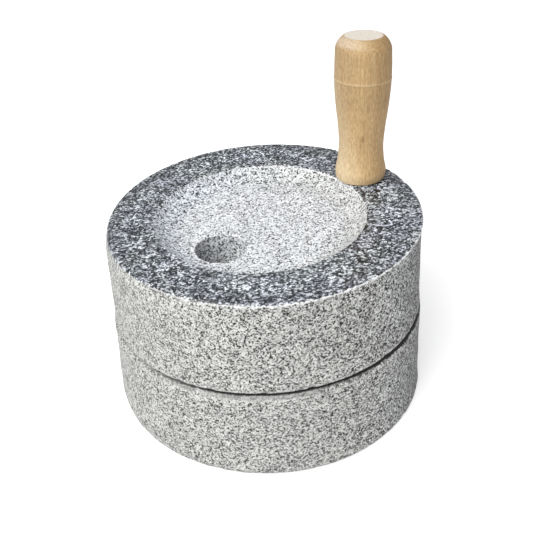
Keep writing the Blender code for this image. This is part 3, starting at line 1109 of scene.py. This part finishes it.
class Wood(Finish):
    """The handle's wood, with the textures that several of its parts share."""

    def __init__(self, name):
        super().__init__(name)
        self.streaks = self.drawn_cloud((1.0, 1.0, 0.035), 0.9 * MM, 3.0)
        self.pores = self.drawn_cloud((1.0, 1.0, 0.14), 0.55 * MM)
        self.fibres = self.drawn_cloud((1.0, 1.0, 0.3), 0.85 * MM)

    def wandering(self, value, reach):
        """The value moved a little with the pores, for borders that follow the grain."""
        wander = product(self.tree, difference(self.tree, self.pores, 0.5), reach)
        return total(self.tree, value, wander)

    def figured(self):
        """Streaks and broad bands along the grain, with darker pores and warmer patches."""
        tree = self.tree
        bands = self.drawn_cloud((1.0, 0.35, 0.06), 7.0 * MM)
        figure = total(tree, product(tree, self.streaks, 0.60), product(tree, bands, 0.40))
        colour = ramp(tree, figure, WOOD_FIGURE)
        pores = rescaled(tree, self.pores, 0.54, 0.70, 0.0, 0.36)
        colour = mixed(tree, pores, colour, WOOD_PORES)
        patches = rescaled(tree, self.cloud(22 * MM, 1.0), 0.35, 0.65, 0.0, 0.35)
        return mixed(tree, patches, colour, WOOD_PATCHES)

    def toned(self, colour):
        """The colour with painted shade round the grip, slow changes up it, and painted light on
        its shoulder and foot.
        """
        tree = self.tree
        # Painted shade round the grip
        colour = tinted(tree, colour, ramp(tree, self.leftwards(-18, 18), ROUND_SHADE_TONES))
        colour = tinted(tree, colour, ramp(tree, self.upwards(0, 95), UPRIGHT_TONES))
        # Pale low on the left, where the top of the stone lights it
        low_left = difference(tree, self.to_left, product(tree, self.height, 0.30))
        low_left = product(tree, past(tree, low_left, 0.0, -9, 14), 0.5)
        colour = mixed(tree, low_left, colour, LIT_BY_STONE)
        # Painted highlight on the shoulder, on the left
        shoulder = product(tree, self.upwards(88.5, 91.5), self.leftwards(-6, 12, 0.0, 0.40))
        colour = mixed(tree, shoulder, colour, SHOULDER_HIGHLIGHT)
        # Painted light low on the right of the foot, against the shade there
        foot = product(tree, self.upwards(0, 8, 0.5, 0.0), self.leftwards(-14, 0, 1.0, 0.0))
        return mixed(tree, foot, colour, FOOT_PAINTED_LIGHT)

    def knot(self):
        tree = self.tree
        middle = polar(KNOT_RADIUS, KNOT_TURN, KNOT_HEIGHT)
        away = stretched(tree, vector_calc(tree, "SUBTRACT", self.place, middle), (1.0, 1.0, 0.45))
        distance = vector_calc(tree, "LENGTH", away, (0.0, 0.0, 0.0))
        return past(tree, self.wandering(distance, 2.5 * MM), 0.0, 0.2, 1.9, 0.55, 0.0)

    def end(self):
        """1 over the flat end, where the grain is cut across."""
        tree = self.tree
        inside = past(tree, self.distance(AXIS), HANDLE_END_RADIUS, -0.6, 0.4, 1.0, 0.0)
        return product(tree, inside, past(tree, self.height, HANDLE_HEIGHT, -3, -2))

    def lathe_ring(self):
        """The pale line over the turned ring, broken up by the fibres."""
        tree = self.tree
        level = self.wandering(self.height, 0.9 * MM)
        ring = strip(tree, level, LATHE_RING_HEIGHT, -0.9, -0.2, 0.2, 0.9)
        return product(tree, ring, rescaled(tree, self.fibres, 0.35, 0.60, 0.15, 0.45))


def turned_wood():
    wood = Wood("turned_wood")
    tree = wood.tree
    colour = wood.toned(wood.figured())
    # The fine fibres, cut short by the curve of the turning
    colour = tinted(tree, colour, ramp(tree, wood.fibres, FIBRE_TONES))
    colour = mixed(tree, wood.knot(), colour, KNOT)
    speckle = ramp(tree, wood.cloud(1.2 * MM, 3.0), END_SPECKLE)
    colour = mixed(tree, wood.end(), colour, speckle)
    colour = mixed(tree, wood.lathe_ring(), colour, LATHE_RING)
    feed(tree, wood.shader, {
        "Base Color": colour,
        "Roughness": rescaled(tree, wood.streaks, 0.3, 0.7, 0.66, 0.54),
        "Normal": bump(tree, wood.streaks, 0.12 * MM, 0.5),
        "Specular IOR Level": 0.3,
    })
    return wood.material


def steel():
    """The pin's steel, with fine turning marks."""
    pin = Finish("pin_steel")
    tree = pin.tree
    patches = pin.cloud(3 * MM, 3.0)
    marks = pin.drawn_cloud((0.05, 0.05, 1.0), 0.25 * MM)
    feed(tree, pin.shader, {
        "Base Color": mineral_ramp(tree, patches, STEEL_PATCHES),
        "Metallic": 1.0,
        "Roughness": rescaled(tree, patches, 0.3, 0.7, 0.45, 0.28),
        "Normal": bump(tree, marks, 0.03 * MM, 0.6),
    })
    return pin.material


# ---------------- stage


def paper_floor():
    mesh = bpy.data.meshes.new("floor")
    signs = ((-1, -1), (1, -1), (1, 1), (-1, 1))
    corners = [(x * FLOOR_REACH, y * FLOOR_REACH, 0.0) for x, y in signs]
    mesh.from_pydata(corners, [], [(0, 1, 2, 3)])
    floor = new_object("floor", mesh)
    floor.location.z = -FLOOR_DROP
    material, tree, shader = new_material("floor_paper")
    feed(tree, shader, {
        "Base Color": FLOOR_COLOUR,
        "Emission Color": (1.0, 1.0, 1.0, 1.0),
        "Emission Strength": FLOOR_GLOW,
        "Roughness": 0.9,
        "Specular IOR Level": 0.2,
    })
    mesh.materials.append(material)


def room_light():
    world = bpy.data.worlds.new("studio")
    world.use_nodes = True
    tree = world.node_tree
    direction = new_node(tree, "TexCoord", {}).outputs["Generated"]
    sideways = vector_calc(tree, "DOT_PRODUCT", direction, tuple(TO_LEFT))
    strength = rescaled(tree, sideways, -1.0, 1.0, ROOM_ON_RIGHT, ROOM_ON_LEFT)
    feed(tree, tree.nodes["Background"], {"Color": ROOM_COLOUR, "Strength": strength})
    bpy.context.scene.world = world


def key_light():
    turn = math.radians(KEY_TO_LEFT)
    rise = math.radians(KEY_ELEVATION)
    level = TO_LEFT * math.sin(turn) + TO_CAMERA * math.cos(turn)
    direction = level * math.cos(rise) + UP * math.sin(rise)
    light = bpy.data.lights.new("key", "AREA")
    light.shape = "DISK"
    light.size = KEY_SIZE
    light.energy = KEY_POWER
    light.color = KEY_COLOUR
    lamp = new_object("key", light)
    lamp.location = CAMERA_TARGET + direction.normalized() * KEY_DISTANCE
    lamp.visible_camera = False
    lamp.rotation_euler = (-direction).to_track_quat("-Z", "Y").to_euler()


def camera():
    data = bpy.data.cameras.new("camera")
    data.sensor_width = CAMERA_SENSOR
    data.lens = CAMERA_LENS
    eye = new_object("camera", data)
    back = TO_CAMERA * math.cos(CAMERA_ELEVATION) + UP * math.sin(CAMERA_ELEVATION)
    aim = (-back).to_track_quat("-Z", "Y").to_matrix().to_4x4()
    roll = Matrix.Rotation(CAMERA_ROLL, 4, "Z")
    eye.matrix_world = Matrix.Translation(CAMERA_TARGET + back * CAMERA_DISTANCE) @ aim @ roll
    bpy.context.scene.camera = eye


def build():
    bpy.context.scene.view_settings.view_transform = "Standard"
    camera()
    paper_floor()
    room_light()
    key_light()

    bed = bed_stone()
    finish_mesh(bed, bed_granite())
    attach(bed, "base")
    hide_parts("lower_stone")

    runner = runner_stone()
    finish_mesh(runner, runner_granite())
    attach(runner, "runner")
    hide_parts("upper_stone")

    grip = turned_handle()
    finish_mesh(grip, turned_wood())
    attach(grip, "runner")
    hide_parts("handle")

    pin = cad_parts["pivot_pin"]
    pin.material_slots[0].material = steel()


build()
